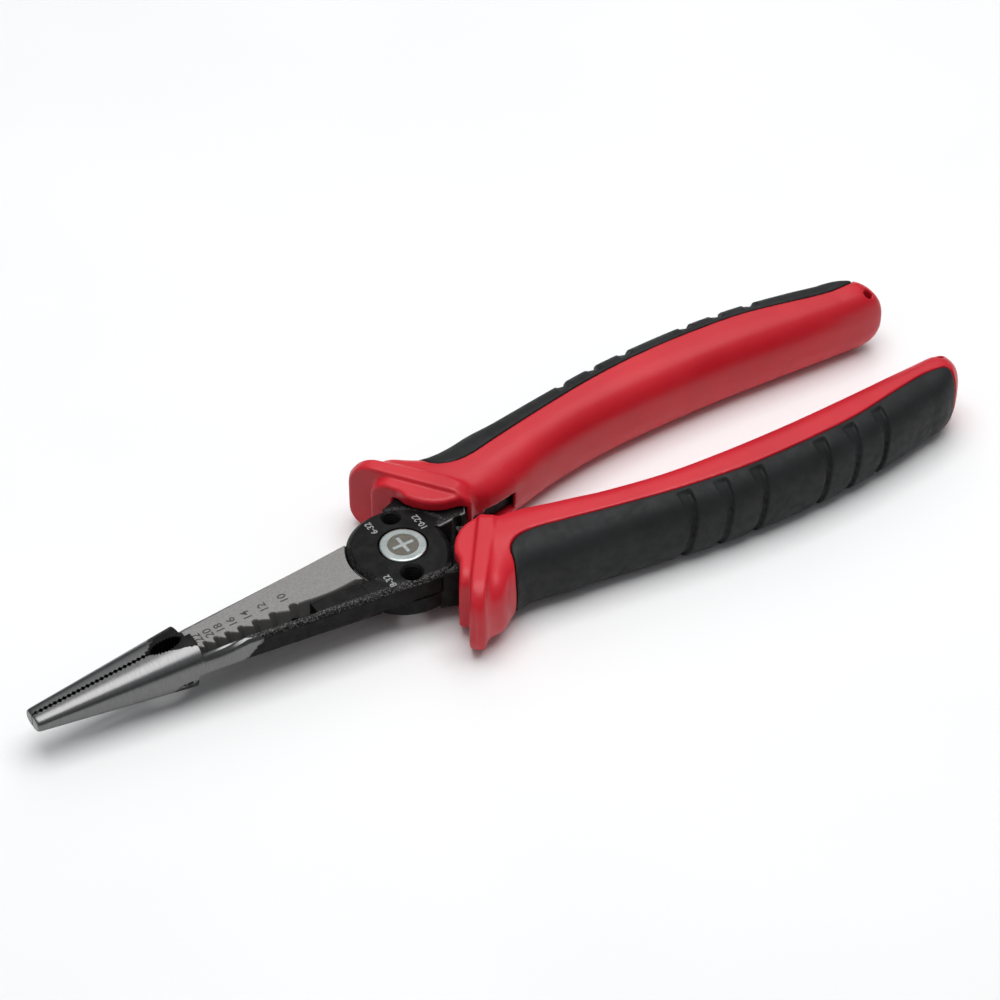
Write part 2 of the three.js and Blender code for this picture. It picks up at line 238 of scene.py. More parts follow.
def cut(first, *tools):
    for tool in tools:
        first = boolean(first, tool, "DIFFERENCE")
    return first


# ---- a steel half: jaw on -Y, boss above the meeting plane, tang on +Y --------------------------------
def jaw():
    stations = [(TIP_X, 0.88), (TIP_X + 0.12, 0.94), (TIP_X + 0.35, 0.98), (TIP_X + 0.7, 1)]
    stations += [(x, 1) for x in np.linspace(-85, HEEL_X - 0.2, 12)] + [(HEEL_X, 0.975)]
    rings = []
    for x, scale in stations:
        ring = []
        for a in np.linspace(math.pi / 2, 1.5 * math.pi, 49):
            c, s = math.cos(a), math.sin(a)
            y = jaw_half_width(x) * scale * abs(c) ** (2 / JAW_POWER)
            z = jaw_half_height(x) * scale * abs(s) ** (2 / JAW_POWER)
            ring.append((x, -SEAM - y, math.copysign(z, s)))
        rings.append(ring)
    blank = cut(loft(rings), block(JAW_BACK_X, -50, -9, 1, -BEYOND, -SEAM))
    teeth = [(TIP_X - 1, SEAM)]
    x = TEETH_FROM
    while x < PIPE[0] - PIPE[1] - TOOTH_PITCH / 2:
        half = TOOTH_PITCH * 0.46
        teeth += [(x - half, -SEAM + 0.01), (x - 0.06, -SEAM - TOOTH_DEPTH)]
        teeth += [(x + 0.06, -SEAM - TOOTH_DEPTH), (x + half, -SEAM + 0.01)]
        x += TOOTH_PITCH
    teeth += [(-55, -SEAM + 0.01), (-55, SEAM)]
    grip = []
    teeth_round = 30
    for i in range(teeth_round * 2):
        a = math.pi * i / teeth_round
        bite = 0.5 if i % 2 else 0.0
        grip.append((PIPE[0] + (PIPE[1] - bite) * math.cos(a), (PIPE[2] - bite) * math.sin(a)))
    return cut(blank, plate(teeth[::-1], -BEYOND, BEYOND), plate(grip, -BEYOND, BEYOND))


def blade_outline():
    """Plan of a stripping blade on half B's upper face, with a mark on each point of the cutting edge."""
    edge = [(JAW_BACK_X - 0.6, SEAM, 0), (-51.3, SEAM, 0), (-51.3, TOOTH_ROOT_Y, 1)]
    for _, x, r in NOTCHES:
        edge.append((x - r - 0.12, TOOTH_TIP_Y, 1))
        edge += [(px, py, 1) for px, py in arc(x, NOTCH_FLOOR_Y - r, r, math.pi, 0, 12)]
        edge.append((x + r + 0.25, TOOTH_ROOT_Y, 1))
    start, end = CUTTER_X
    edge.append((start, TOOTH_ROOT_Y - 0.1, 1))
    for i in range(1, 21):
        t = i / 20
        edge.append((mix(start, end, t), -2.65 - 0.55 * math.sin(math.pi * t) - 0.1 * t, 1))
    corner = math.atan2(-3.5, -math.sqrt(SWEEP_R ** 2 - 3.5 ** 2)) + 2 * math.pi
    top = math.atan2(7.5, -math.sqrt(SWEEP_R ** 2 - 7.5 ** 2))
    edge += [(x, y, 0) for x, y in arc(0, 0, SWEEP_R, corner, top, 24)]
    edge.append((JAW_BACK_X - 0.6, spine_y(JAW_BACK_X - 0.6), 0))
    return edge


def blade():
    """The edge is bevelled: its foot, on the meeting plane, stands out further than its top."""
    outline = blade_outline()
    rings = []
    for lean, z in ((0.6, SEAM), (0.1, BLADE_TOP - 0.22), (-0.06, BLADE_TOP)):
        rings.append([(x, lean * on_edge - y, -z) for x, y, on_edge in outline])
    return loft(rings)


def bar():
    def section(x, inner, top, roundness=0.0):
        """A chamfered section, or one as round as the jaw that it runs into."""
        outer, spine = float(bar_y(x)), float(spine_y(x))
        chamfered = [(outer, 0.02), (outer, top - 1.1), (outer - 0.12, top - 0.85),
                     (outer - 0.55, top - 0.28), (outer - 1.25, top), (inner + 0.4, top),
                     (inner + 0.1, top - 0.25)]
        last = math.acos(((inner + 0.1) / outer) ** (JAW_POWER / 2))
        profile = []
        for k, (y, z) in enumerate(chamfered):
            a = last * k / (len(chamfered) - 1)
            round_y = outer * math.cos(a) ** (2 / JAW_POWER)
            round_z = 1.04 * top * math.sin(a) ** (2 / JAW_POWER)
            profile.append((x, -mix(y, round_y, roundness), mix(z, round_z, roundness)))
        profile += [(x, -4.4, SEAM), (x, -3.2, -SEAM)]
        # Below the meeting plane the side slopes in to the spine, with a fillet up from the jaw.
        t = min(1.0, max(0.0, (x - JAW_BACK_X) / FILLET))
        fillet = 1 - math.sqrt(1 - (1 - t) ** 2)
        last = math.acos((spine / outer) ** (JAW_POWER / 2))
        profile.append((x, -spine + 1.4, mix(-BLADE_TOP, -5.3, fillet)))
        for k in range(6, 0, -1):
            a = last * k / 6
            y = mix(mix(outer, spine, k / 6), outer * math.cos(a) ** (2 / JAW_POWER), fillet)
            z = mix(-BLADE_TOP * k / 6, -5.6 * math.sin(a) ** (2 / JAW_POWER), fillet)
            profile.append((x, -y, z))
        return profile

    rear = []
    stations = [np.linspace(JAW_BACK_X - 1, JAW_BACK_X + FILLET, 12), np.linspace(-49, -25, 18)]
    for x in np.concatenate(stations):
        inner = float(bar_inner_y(x)) if x > -45 else mix(5.9, 5.0, (-45 - x) / 9.4)
        top = mix(BOSS_TOP, 5.5, ((-25 - x) / 29.4) ** 2)
        rear.append(section(x, inner, top, min(1.0, max(0.0, (-42 - x) / 9)) ** 0.8))
    front = loft([section(-25.6, 4.5, BOSS_TOP), section(-18, 4.6, BOSS_TOP), section(-14, 4.6, BOSS_TOP)])
    return cut(union(loft(rear), front), disc(SWEEP_R, -BEYOND, -SEAM))


def boss():
    left = arc(0, 0, BOSS_R, math.pi * 0.36, math.pi * 1.12, 60)
    foot = [(-15, -4.6), (-15, -float(bar_y(-15))), (-7, -float(bar_y(-7.5))), (0, -float(bar_y(0)) - 0.1),
            (2, -12.1), (3.6, -11.75)]
    right = [(5.0, -11.0), (6.2, -9.9), (7.9, -7.6), (9.3, -4.2), (9.8, -1), (9.9, 1), (9.9, 7)]
    outline = left + foot + right
    steps = [(0, 1.1), (0.12, 0.98), (0.62, 0.42), (0.72, 0.36), (1.12, 0.06), (1.3, 0)]
    rims = [(distance, BOSS_TOP - drop) for distance, drop in steps]
    return plate(outline, SEAM, BOSS_TOP, rims)


def shoulder_outline(grow):
    return [(2, 12 + grow), (4, 4), (CRIMP_X[0], 1.0 - grow), (CRIMP_X[1] + grow, 1.6 - grow),
            (CRIMP_X[1] + 1.4 + grow, 4.2 - grow), (25, float(tang_inner(25)) - grow), (25, 13.4 + grow),
            (18, 14.4 + grow), (12, 15.2 + grow), (8, 14.4 + grow)]


def shoulder():
    rims = [(0, BOSS_TOP - 0.35), (0.1, BOSS_TOP - 0.1), (0.35, BOSS_TOP)]
    upper = plate(shoulder_outline(0), SEAM, BOSS_TOP, rims)
    lower = plate(shoulder_outline(0), -BOSS_TOP, SEAM + 0.5)
    return union(upper, cut(lower, disc(SWEEP_R, -BEYOND, SEAM)))


def tang():
    rings = []
    half = TANG_HALF_Z
    for x in np.linspace(24, TANG_END_X, 19):
        low, high = float(tang_inner(x)), float(tang_outer(x))
        rings.append([(x, low, -half), (x, high, -half), (x, high, half), (x, low, half)])
    return loft(rings)


def threaded_hole(x, y, radius):
    """A bore with a thread's crests and roots, countersunk at both faces."""
    mouth = radius + COUNTERSINK
    profile = [(mouth, -BEYOND), (mouth, -BOSS_TOP), (radius, -BOSS_TOP + 0.5)]
    z = -BOSS_TOP + 0.6
    while z < BOSS_TOP - 1.0:
        profile += [(radius, z), (radius + THREAD_DEPTH, z + THREAD_PITCH / 2)]
        z += THREAD_PITCH
    profile += [(radius, BOSS_TOP - 0.5), (mouth, BOSS_TOP), (mouth, BEYOND)]
    return turned(profile, x, y, 48)


def lever_shape(name, turned_over):
    lever = union(jaw(), blade(), bar(), boss(), shoulder(), tang())
    if turned_over:
        lever.data.transform(Matrix.Rotation(math.pi, 4, "X"))
    seat = HEAD_R + GAP
    lever = cut(lever, disc(SHANK_R + SEAM, -BEYOND, BEYOND), disc(seat, HEAD_SEAT, BEYOND),
                disc(seat, -BEYOND, -HEAD_SEAT))
    lever = cut(lever, *[threaded_hole(x, y, r) for x, y, r in SCREW_HOLES])
    lever = cut(lever, disc(CRIMP_NEST_R, -BEYOND, BEYOND, CRIMP_NEST_X, 0))
    lever.name = name
    return lever


# ---- moulded shapes, worked out as distances on a grid ------------------------------------------------
class Space:
    """A grid of points around one handle: x, y and z broadcast against each other."""

    def __init__(self, low, high):
        self.low = np.array(low, float)
        counts = np.ceil((np.array(high) - low) / GRID).astype(int) + 1
        axes = [self.low[n] + GRID * np.arange(counts[n]) for n in range(3)]
        self.x = axes[0][:, None, None]
        self.y = axes[1][None, :, None]
        self.z = axes[2][None, None, :]

    def polygon(self, outline, u=None, v=None):
        """Signed distance to a closed outline, negative inside."""
        u = self.x if u is None else u
        v = self.y if v is None else v
        nearest = np.full(np.broadcast(u, v).shape, 1e9)
        inside = np.zeros(nearest.shape, bool)
        for (x0, y0), (x1, y1) in zip(outline, outline[1:] + outline[:1]):
            dx, dy = x1 - x0, y1 - y0
            t = np.clip(((u - x0) * dx + (v - y0) * dy) / (dx * dx + dy * dy), 0, 1)
            nearest = np.minimum(nearest, (u - x0 - t * dx) ** 2 + (v - y0 - t * dy) ** 2)
            if dy:
                inside ^= ((y0 > v) != (y1 > v)) & (u < x0 + (v - y0) * dx / dy)
        return np.sqrt(nearest) * np.where(inside, -1, 1)


def slab(plan, across, half, rim):
    """A plan distance given a thickness, with rounded rims."""
    out_plan = plan + rim
    out_side = np.abs(across) - half + rim
    outside = np.sqrt(np.maximum(out_plan, 0) ** 2 + np.maximum(out_side, 0) ** 2)
    return outside + np.minimum(np.maximum(out_plan, out_side), 0) - rim


def merged(a, b, fillet):
    bridge = np.maximum(fillet - np.abs(a - b), 0) / fillet
    return np.minimum(a, b) - bridge * bridge * fillet / 4


def common(a, b, rounding):
    return -merged(-a, -b, rounding)


def without(a, b, rounding):
    return common(a, -b, rounding)


def as_distance(level):
    """Scales a level set so that it changes by one per millimetre."""
    slope = np.gradient(level, GRID)
    return level / np.maximum(np.sqrt(sum(s * s for s in slope)), 0.02)


def skin(name, values, low):
    """The zero level of a grid of distances as a closed mesh: a point in each crossed cell, a face round
    each crossed edge."""
    inside = values < 0
    shape = np.array(values.shape) - 1
    corners = [(i, j, k) for i in (0, 1) for j in (0, 1) for k in (0, 1)]
    filled = np.zeros(shape, np.int8)
    for i, j, k in corners:
        filled += inside[i:i + shape[0], j:j + shape[1], k:k + shape[2]]
    cells = np.argwhere((filled > 0) & (filled < 8))
    number = np.full(shape, -1)
    number[tuple(cells.T)] = np.arange(len(cells))
    total = np.zeros((len(cells), 3))
    hits = np.zeros(len(cells))
    for corner in corners:
        for axis in range(3):
            if corner[axis]:
                continue
            step = np.eye(3, dtype=int)[axis]
            start = values[tuple((cells + corner).T)]
            end = values[tuple((cells + corner + step).T)]
            crossed = (start < 0) != (end < 0)
            t = np.where(crossed, start / np.where(crossed, start - end, 1), 0)
            total += (cells + corner + step * t[:, None]) * crossed[:, None]
            hits += crossed
    points = low + GRID * total / hits[:, None]
    faces = []
    for axis in range(3):
        step, u, v = np.roll(np.eye(3, dtype=int), -axis, axis=0)
        ahead = np.roll(inside, -1, axis)
        edges = np.argwhere(inside != ahead)
        fits = (edges[:, axis] < shape[axis]) & np.all((edges < shape) & (edges + step > 0), axis=1)
        edges = edges[fits & (edges @ u > 0) & (edges @ v > 0)]
        around = ((0, 0), (1, 0), (1, 1), (0, 1))
        quad = np.stack([number[tuple((edges - a * u - b * v).T)] for a, b in around], 1)
        inward = ~inside[tuple(edges.T)]
        quad[inward] = quad[inward][:, ::-1]
        faces.append(quad)
    quads = np.concatenate(faces)
    mesh = bpy.data.meshes.new(name)
    mesh.from_pydata(points.tolist(), [], quads.tolist())
    return new_object(name, mesh)


# ---- handle of half A, on +Y --------------------------------------------------------------------------
inner_edge = through([(14, 5.2), (20, 4.4), (27, 4.2), (35, 6), (44, 8.5), (58, 11), (74, 12), (90, 12.2),
                      (106, 11.7), (120, 11), (130, 10.7)])
outer_edge = through([(4, 26.6), (9, 25.2), (13, 23.2), (16.5, 21.5), (20, 21.1), (24, 21.5), (29, 22.5),
                      (36, 23.1), (51, 25.2), (66, 27.2), (80, 27.9), (92, 27.9), (104, 27.1), (116, 25.3),
                      (124, 23.6)])
half_height = through([(4, 8.8), (14, 8.6), (24, 8.8), (40, 9), (70, 9.2), (100, 9.2), (125, 8.6)])
grip_edge = through([(16, 19), (16.6, 16.6), (18.4, 14.5), (21.5, 13.5), (26, 13.7), (31, 14.8),
                     (45, 17.7), (60, 20.3), (75, 21.8), (90, 21.9), (104, 21), (118, 18.4),
                     (126, 17.2), (130.5, 17.6)])
SECTION_POWER = 2.7
GRIP_FROM = 16
CAP_FROM = 124
END_MID_Y = 13.6
GROOVES = [57.7, 66.5, 75.4, 92.2, 100.5, 109]
GROOVE_DEPTH = 0.95
GROOVE_LEAN = math.tan(math.radians(8))
GUARD_ROOT = (18.3, 5.0)
GUARD_TIP = (2.7, 26.2)
GUARD_FRONT = 2.1  # the guard's front and rear faces, from the CAD guard's middle plane
GUARD_REAR = -1.2
FLOOR_CLEARANCE = 0.06
WINDOW_X = (15, 31.4)  # the window in the handle's inner side, where the tang shows
WINDOW_Y = 8.8
WINDOW_STEP_X = 23  # the window is taller past here
HANG_HOLE = (132.6, 13.4, 1.05)  # x, y and radius


def handle_body(space):
    x, y, z = space.x, space.y, space.z
    t = np.clip((x - CAP_FROM) / (END_X - CAP_FROM), 0, 1)
    inner = mix(inner_edge(x), END_MID_Y - 1, 1 - np.sqrt(1 - t ** 7))
    outer = mix(outer_edge(x), END_MID_Y + 1, 1 - (1 - t ** 1.9) ** 0.62)
    half_y = np.maximum((outer - inner) / 2, 0.8)
    half_z = half_height(x) * np.maximum(np.sqrt(1 - t ** 5), 0.28)
    across = np.abs((y - (inner + outer) / 2) / half_y) ** SECTION_POWER
    upright = np.abs(z / half_z) ** SECTION_POWER
    level = (across + upright) ** (1 / SECTION_POWER) - 1
    return common(as_distance(level), x - END_X, 1.2)


def grip_zone(space):
    xs = np.concatenate([np.linspace(GRIP_FROM, 25, 16), np.linspace(27, 128, 40)])
    rim = [(float(x), float(grip_edge(x))) for x in xs]
    return space.polygon(rim + [(131.2, 17.6), (132, 18.7), (132, 40), (14.4, 40), (14.6, 22)])


GUARD_LENGTH = math.hypot(GUARD_TIP[0] - GUARD_ROOT[0], GUARD_TIP[1] - GUARD_ROOT[1])
GUARD_WAY = ((GUARD_TIP[0] - GUARD_ROOT[0]) / GUARD_LENGTH, (GUARD_TIP[1] - GUARD_ROOT[1]) / GUARD_LENGTH)
# The collar on the guard's front face, as (distance out along the guard, distance forward) points.
COLLAR = [(-2.5, 1.4), (-0.4, 2.2), (0.9, 3.5), (2.5, 4.9), (4.4, 5.9), (6.8, 6.5), (9.2, 6.6), (11.2, 6.3),
          (12.4, 5.6), (13.5, 5.1), (16, 4.9), (20, 4.8), (20, 0.5), (-2.5, 0.5)]


def before_guard(space):
    """Distance in front of the guard's middle plane."""
    return (space.y - GUARD_ROOT[1]) * GUARD_WAY[0] - (space.x - GUARD_ROOT[0]) * GUARD_WAY[1]


def along_guard(space):
    """Distance from the guard's root toward its tip."""
    return (space.x - GUARD_ROOT[0]) * GUARD_WAY[0] + (space.y - GUARD_ROOT[1]) * GUARD_WAY[1]


def guard_face(space, root, tip, half_z, corner):
    """Distance to a rounded outline drawn on the guard's face."""
    outline = []
    quarter = math.pi / 2
    for quadrant, u, v in ((2, root + 4, 4 - half_z), (3, tip - corner, corner - half_z),
                           (0, tip - corner, half_z - corner), (1, root + 4, half_z - 4)):
        radius = corner if u > root + 4 else 4
        outline += arc(u, v, radius, quadrant * quarter, (quadrant + 1) * quarter, 10)
    along = along_guard(space)
    return space.polygon(outline, along + 0 * space.z, space.z + 0 * along)


def guard(space):
    """The finger guard: a flange across the handle, a collar on its front and a thickening behind it."""
    forward = before_guard(space)
    flange = slab(guard_face(space, -1.5, GUARD_LENGTH, GUARD_HALF_Z - 0.1, 6.2),
                  forward - (GUARD_FRONT + GUARD_REAR) / 2, (GUARD_FRONT - GUARD_REAR) / 2, 0.6)
    collar = common(space.polygon(COLLAR, along_guard(space), forward) + 0 * space.z,
                    guard_face(space, -3, 20.2, 8.3, 4.6), 1.1)
    backing = slab(guard_face(space, 2, 22, 7.8, 5.2), forward + 2.7, 2.6, 2.4)
    return merged(merged(flange, backing, 1.3), collar, 0.8)


def handle_shape(space, body):
    neck = slab(space.polygon([(13.5, 8), (17.6, 4.6), (24, 4.3), (31, 6), (38, 10), (30, 14), (14, 15)]),
                space.z, 8.1 - np.clip((space.x - 19) * 0.22, 0, 4), 3.2)
    shape = merged(common(body, before_guard(space), 0.5), neck, 3.0)
    shape = merged(shape, guard(space), 1.7)
    shape = common(shape, np.abs(space.z) - GUARD_HALF_Z + FLOOR_CLEARANCE, 0.2)
    pocket = common(grip_zone(space) - 0.05, -(body + SHELL + 0.1), 0.3)
    shape = without(shape, pocket, 0.35)
    recess = slab(space.polygon(shoulder_outline(GAP)), space.z, BOSS_TOP + GAP, 0.2)
    middle = (tang_inner(space.x) + tang_outer(space.x)) / 2
    half = (tang_outer(space.x) - tang_inner(space.x)) / 2
    tang_room = common(np.abs(space.y - middle) - half, np.abs(space.z) - TANG_HALF_Z, 0.2) - GAP
    tang_room = common(tang_room, np.maximum(20 - space.x, space.x - (TANG_END_X + GAP)), 0.3)
    sweep = slab(np.sqrt(space.x ** 2 + space.y ** 2) - SWEEP_R - GAP, space.z, BOSS_TOP + GAP, 0.3)
    start, end = WINDOW_X
    narrow = space.x < WINDOW_STEP_X
    window = slab(space.polygon([(start, 0), (end, 0), (end, WINDOW_Y), (start, WINDOW_Y)]),
                  space.z + np.where(narrow, 1.5, 1.2), np.where(narrow, 1.9, 2.4), 0.3)
    hole_x, hole_y, hole_r = HANG_HOLE
    hang_hole = np.sqrt((space.x - hole_x) ** 2 + (space.y - hole_y) ** 2) - hole_r + 0 * space.z
    for room in (recess, tang_room, sweep, window, hang_hole):
        shape = without(shape, room, 0.4)
    return shape


def groove_depth(space, zone):
    """Finger grooves: each ramps down toward +X and steps up again, wide at the rim and narrow outside."""
    upright = np.clip(np.abs(space.z) / half_height(space.x), 0, 1)
    width = mix(1.3, 3.2, upright ** 1.5)
    inward = np.clip((-zone - 1.1) / 0.5, 0, 1)
    depth = 0 * (space.x + space.y + space.z)
    for x in GROOVES:
        u = space.x - x + GROOVE_LEAN * space.z
        ramp = np.clip(0.3 + 0.7 * (u + width) / width, 0, 1) * (u > -width)
        step_up = np.clip(1 - u / 0.3, 0, 1)
        depth = np.maximum(depth, GROOVE_DEPTH * ramp * step_up * inward)
    return depth


def grip_shape(space, body):
    zone = grip_zone(space)
    outside = body - 0.08 + groove_depth(space, zone)
    shape = common(outside, zone + 0.06, 0.7)
    return without(shape, body + SHELL, 0.3)


# ---- materials ----------------------------------------------------------------------------------------
class Look:
    """A Principled material, with short calls for the nodes that feed it. Lengths are millimetres."""

    def __init__(self, name, **constants):
        self.material = bpy.data.materials.new(name)
        self.material.use_nodes = True
        self.tree = self.material.node_tree
        self.shader = self.tree.nodes["Principled BSDF"]
        for socket, value in constants.items():
            self.shader.inputs[socket.replace("_", " ")].default_value = value
        coordinates = self.tree.nodes.new("ShaderNodeTexCoord").outputs["Object"]
        shifted = self.vector("SUBTRACT", coordinates, PIVOT)
        self.place = self.vector("SCALE", shifted, scale=1 / MM)

    def vector(self, operation, a, b=None, scale=None):
        node = self.tree.nodes.new("ShaderNodeVectorMath")
        node.operation = operation
        self.feed(node.inputs[0], a)
        if b is not None:
            self.feed(node.inputs[1], b)
        if scale is not None:
            node.inputs["Scale"].default_value = scale
        return node.outputs[0]

    def feed(self, socket, value):
        if isinstance(value, bpy.types.NodeSocket):
            self.tree.links.new(value, socket)
        else:
            socket.default_value = value

    def math(self, operation, a, b=0.0, c=0.0):
        node = self.tree.nodes.new("ShaderNodeMath")
        node.operation = operation
        for socket, value in zip(node.inputs, (a, b, c)):
            self.feed(socket, value)
        return node.outputs[0]

    def axes(self, vector):
        node = self.tree.nodes.new("ShaderNodeSeparateXYZ")
        self.feed(node.inputs[0], vector)
        return node.outputs

    def noise(self, scale, detail=3.0, stretch=(1, 1, 1), rough=0.55):
        node = self.tree.nodes.new("ShaderNodeTexNoise")
        node.inputs["Scale"].default_value = scale
        node.inputs["Detail"].default_value = detail
        node.inputs["Roughness"].default_value = rough
        self.feed(node.inputs["Vector"], self.vector("MULTIPLY", self.place, stretch))
        return node.outputs["Fac"]

    def smooth(self, value, low, high, out_low=0.0, out_high=1.0):
        """A value taken from low..high to out_low..out_high with eased ends."""
        node = self.tree.nodes.new("ShaderNodeMapRange")
        node.interpolation_type = "SMOOTHSTEP"
        for name, number in (("Value", value), ("From Min", low), ("From Max", high), ("To Min", out_low),
                             ("To Max", out_high)):
            self.feed(node.inputs[name], number)
        return node.outputs["Result"]

    def blend(self, factor, a, b):
        node = self.tree.nodes.new("ShaderNodeMix")
        node.data_type = "RGBA"
        self.feed(node.inputs["Factor"], factor)
        self.feed(node.inputs[6], a)
        self.feed(node.inputs[7], b)
        return node.outputs[2]

    def bump(self, height, distance, strength=1.0, after=None):
        node = self.tree.nodes.new("ShaderNodeBump")
        node.inputs["Strength"].default_value = strength
        node.inputs["Distance"].default_value = distance * MM
        self.feed(node.inputs["Height"], height)
        if after is not None:
            self.feed(node.inputs["Normal"], after)
        return node.outputs["Normal"]

    def set(self, socket, value):
        self.feed(self.shader.inputs[socket], value)


def grey(value, warmth=0.0):
    return (value * (1 + warmth), value, value * (1 - warmth), 1)


def forged_steel(name):
    """Black oxide, ground bright on the nose and on the flats of the blades."""
    look = Look(name, Specular_IOR_Level=0.13)
    x, y, z = look.axes(look.place)
    size_y = look.math("ABSOLUTE", y)
    size_z = look.math("ABSOLUTE", z)
    y_top = look.math("MULTIPLY", y, look.math("SIGN", z))

    # The ground nose ends in a ragged line, further back on the outer side of each jaw.
    outer_end = look.math("MULTIPLY_ADD", look.math("SUBTRACT", size_y, 0.5), 3.1, -61.5)
    own_z = look.math("MULTIPLY", z, look.math("MULTIPLY", look.math("SIGN", y), -1.0))
    dip = look.math("MULTIPLY", look.math("MAXIMUM", look.math("SUBTRACT", 4.6, own_z), 0.0), 0.75)
    outer_end = look.math("SUBTRACT", outer_end, dip)
    inner_end = look.math("MULTIPLY_ADD", size_y, 0.9, -62.0)
    on_top = look.smooth(size_z, 2.2, 3.4)
    far_top = look.math("MULTIPLY", on_top, look.smooth(y_top, -0.2, 0.2))
    end = look.math("ADD", look.math("MULTIPLY", inner_end, far_top),
                    look.math("MULTIPLY", outer_end, look.math("SUBTRACT", 1.0, far_top)))
    ragged = look.math("MULTIPLY_ADD", look.noise(0.7, 4, rough=0.7), 3.4, -1.7)
    # Low on the jaw's rear corner the ground nose stops short, so a ragged patch there keeps the dark oxide
    # colour.
    low_patch = look.math("MULTIPLY", look.smooth(x, -60.0, -54.5), look.smooth(own_z, 0.0, -3.0))
    low_patch = look.math("MULTIPLY", low_patch, look.smooth(look.noise(0.9, 4, rough=0.75), 0.38, 0.56, 0, 38))
    past = look.math("SUBTRACT", look.math("ADD", end, ragged), look.math("ADD", x, low_patch))
    nose = look.smooth(past, -0.2, 0.25)

    # Flats of the blades: level with BLADE_TOP, between the jaw and the boss.
    normal = look.axes(look.tree.nodes.new("ShaderNodeNewGeometry").outputs["Normal"])
    level = look.math("LESS_THAN", look.math("ABSOLUTE", look.math("SUBTRACT", size_z, BLADE_TOP)), 0.05)
    span = look.math("MULTIPLY", look.math("GREATER_THAN", x, JAW_BACK_X),
                     look.math("LESS_THAN", x, BLADE_END_X))
    flat = look.math("GREATER_THAN", look.math("ABSOLUTE", normal[2]), 0.9)
    blade_flat = look.math("MULTIPLY", look.math("MULTIPLY", level, span), flat)

    # Rubbed ridge of the bar, just inside its outer edge, and rubbed rim of the boss.
    slope = (BAR_REAR[1] - BAR_FRONT[1]) / (BAR_REAR[0] - BAR_FRONT[0])
    ridge_y = look.math("MULTIPLY_ADD", x, slope, BAR_FRONT[1] - slope * BAR_FRONT[0] - RIDGE_INSIDE)
    off_ridge = look.math("ABSOLUTE", look.math("SUBTRACT", size_y, ridge_y))
    ridge = look.smooth(off_ridge, 1.0, 0.45)
    ridge = look.math("MULTIPLY", ridge, look.smooth(size_z, 3.9, 4.1))
    ridge = look.math("MULTIPLY", ridge, look.smooth(y_top, -5.0, -5.5))
    radius = look.math("SQRT", look.math("ADD", look.math("MULTIPLY", x, x), look.math("MULTIPLY", y, y)))
    rim = look.smooth(look.math("ABSOLUTE", look.math("SUBTRACT", radius, 11.6)), 0.8, 0.2)
    rim = look.math("MULTIPLY", rim, look.smooth(size_z, 3.9, 4.3))
    rim = look.math("MULTIPLY", rim, look.smooth(x, -3.0, 5.0, 0.35, 1.0))
    # Rubbed top of the crimp dies and the worn line along their upper edges.
    crimp = look.math("MULTIPLY", look.smooth(size_y, 3.0, 1.7), look.smooth(x, 9.4, 10.2))
    crimp = look.math("MULTIPLY", crimp, look.smooth(size_z, 4.2, 4.7))
    rim = look.math("MAXIMUM", rim, crimp)
    worn_edge = look.math("MULTIPLY", look.smooth(size_z, BOSS_TOP - 0.4, BOSS_TOP - 0.25),
                          look.smooth(size_z, BOSS_TOP, BOSS_TOP - 0.05))
    worn_edge = look.math("MULTIPLY", worn_edge, look.smooth(x, 9.3, 9.9))
    worn_edge = look.math("MULTIPLY", worn_edge, look.smooth(size_y, 4.6, 3.6, 0.0, 0.75))
    speckle = look.smooth(look.noise(2.6, 5, rough=0.75), 0.46, 0.66)
    scatter = look.smooth(look.noise(1.3, 4, rough=0.8), 0.62, 0.78, 0, 0.35)
    rubbed = look.math("MULTIPLY", look.math("MAXIMUM", ridge, rim), speckle)
    rubbed = look.math("MAXIMUM",
                       look.math("MULTIPLY", rubbed, 0.48),
                       look.math("MULTIPLY", scatter, 0.35))
    rubbed = look.math("MAXIMUM", rubbed, worn_edge)

    oxide = look.blend(look.smooth(look.noise(0.35, 4), 0.35, 0.7), grey(0.004), grey(0.011, 0.02))
    oxide = look.blend(rubbed, oxide, grey(0.26, 0.02))

    # The bevelled walls below the cutting edges are cut steel, darker than the ground flats; their grey is
    # also painted light, lighter than the oxide to stand in for the light that falls on them from the
    # front.
    wall = look.math("MULTIPLY", span, look.smooth(size_y, 4.7, 4.4))
    wall = look.math("MULTIPLY", wall, look.math("GREATER_THAN", x, -51.0))
    wall = look.math("MULTIPLY", wall, look.math("LESS_THAN", size_z, BLADE_TOP - 0.03))
    wall = look.math("MULTIPLY", wall, look.math("LESS_THAN", y_top, 0.0))
    oxide = look.blend(look.math("MULTIPLY", wall, 0.9), oxide, grey(0.2, 0.03))
    streaks = look.noise(1.0, 4, stretch=(4.5, 0.5, 0.5), rough=0.6)
    ground = look.blend(look.smooth(streaks, 0.3, 0.72), grey(0.155), grey(0.185))
    fine = look.smooth(look.noise(2.6, 5, rough=0.7), 0.3, 0.7)
    satin = look.blend(fine, grey(0.21, 0.03), grey(0.27, 0.025))
    ground = look.blend(blade_flat, ground, satin)
    bright = look.math("MAXIMUM", nose, blade_flat)
    look.set("Base Color", look.blend(bright, oxide, ground))
    look.set("Metallic", look.smooth(bright, 0.0, 1.0, 0.25, 1.0))
    ground_rough = look.smooth(streaks, 0.3, 0.7, 0.29, 0.315)
    flat_rough = look.math("MULTIPLY_ADD", blade_flat, 0.2, ground_rough)
    oxide_rough = look.smooth(look.noise(1.6, 4), 0.3, 0.7, 0.38, 0.58)
    rough = look.math("ADD", look.math("MULTIPLY", flat_rough, bright),
                      look.math("MULTIPLY", oxide_rough, look.math("SUBTRACT", 1.0, bright)))
    look.set("Roughness", rough)
    grain = look.bump(look.math("MULTIPLY", streaks, nose), 0.0015, 0.4)
    pitted = look.math("MULTIPLY", look.noise(2.2, 5, rough=0.7), look.math("SUBTRACT", 1.1, nose))
    pits = look.bump(pitted, 0.05, 0.35, grain)
    look.set("Normal", pits)
